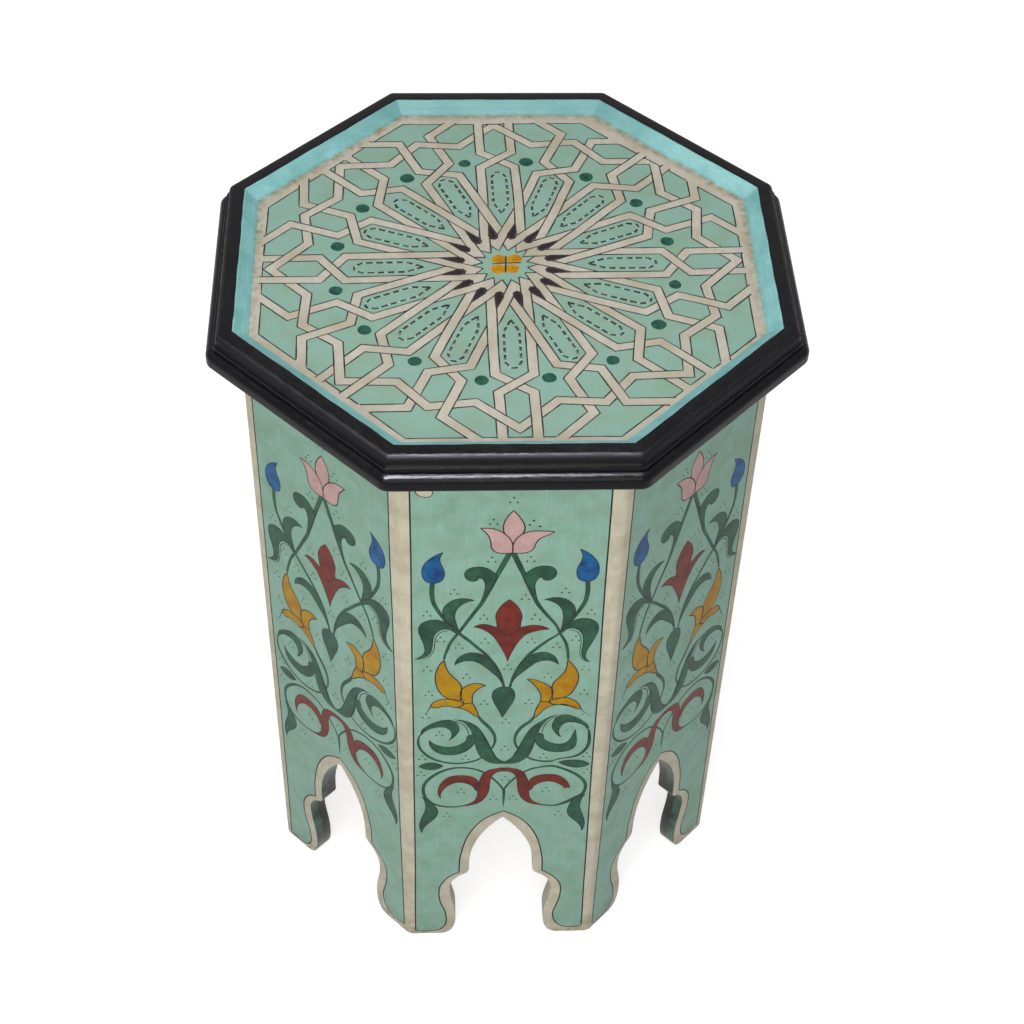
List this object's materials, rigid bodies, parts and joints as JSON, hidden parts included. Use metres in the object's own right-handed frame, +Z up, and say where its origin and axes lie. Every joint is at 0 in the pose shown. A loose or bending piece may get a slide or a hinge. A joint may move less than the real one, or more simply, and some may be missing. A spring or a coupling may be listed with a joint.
{
  "type": "octagonal stool",
  "caption": "Octagonal painted wooden stool: side boards with arched feet, and a recessed flat top framed by a moulded rim.",
  "frame": {"origin": "on the floor at the middle of the feet, below the centre of the top", "axes": "+Z up through the centre of the top; the front side board faces -Y"},
  "size_m": [0.3746, 0.3746, 0.536],
  "materials": {
    "painted_top": "hand-painted ornament in mint and cream under a thin gloss varnish",
    "painted_side": "hand-painted floral ornament on mint with cream edges, satin varnish",
    "lacquered_rim": "glossy black lacquer outside, turquoise inner lip",
    "bare_wood": "sawn softwood, unpainted",
    "steel": "plain bright steel"
  },
  "bodies": {
    "root": {"top_board": "painted_top", "side_board_front": "painted_side", "rim_front": "lacquered_rim", "cleat_front": "bare_wood", "top_screw_front": "steel", "side_screw_front": "steel", "rim_pin_front": "steel", "glue_block_1": "bare_wood", "side_board_front_right": "painted_side", "rim_front_right": "lacquered_rim", "cleat_front_right": "bare_wood", "top_screw_front_right": "steel", "side_screw_front_right": "steel", "rim_pin_front_right": "steel", "glue_block_2": "bare_wood", "side_board_right": "painted_side", "rim_right": "lacquered_rim", "cleat_right": "bare_wood", "top_screw_right": "steel", "side_screw_right": "steel", "rim_pin_right": "steel", "glue_block_3": "bare_wood", "side_board_back_right": "painted_side", "rim_back_right": "lacquered_rim", "cleat_back_right": "bare_wood", "top_screw_back_right": "steel", "side_screw_back_right": "steel", "rim_pin_back_right": "steel", "glue_block_4": "bare_wood", "side_board_back": "painted_side", "rim_back": "lacquered_rim", "cleat_back": "bare_wood", "top_screw_back": "steel", "side_screw_back": "steel", "rim_pin_back": "steel", "glue_block_5": "bare_wood", "side_board_back_left": "painted_side", "rim_back_left": "lacquered_rim", "cleat_back_left": "bare_wood", "top_screw_back_left": "steel", "side_screw_back_left": "steel", "rim_pin_back_left": "steel", "glue_block_6": "bare_wood", "side_board_left": "painted_side", "rim_left": "lacquered_rim", "cleat_left": "bare_wood", "top_screw_left": "steel", "side_screw_left": "steel", "rim_pin_left": "steel", "glue_block_7": "bare_wood", "side_board_front_left": "painted_side", "rim_front_left": "lacquered_rim", "cleat_front_left": "bare_wood", "top_screw_front_left": "steel", "side_screw_front_left": "steel", "rim_pin_front_left": "steel", "glue_block_8": "bare_wood"}
  },
  "joints": []
}
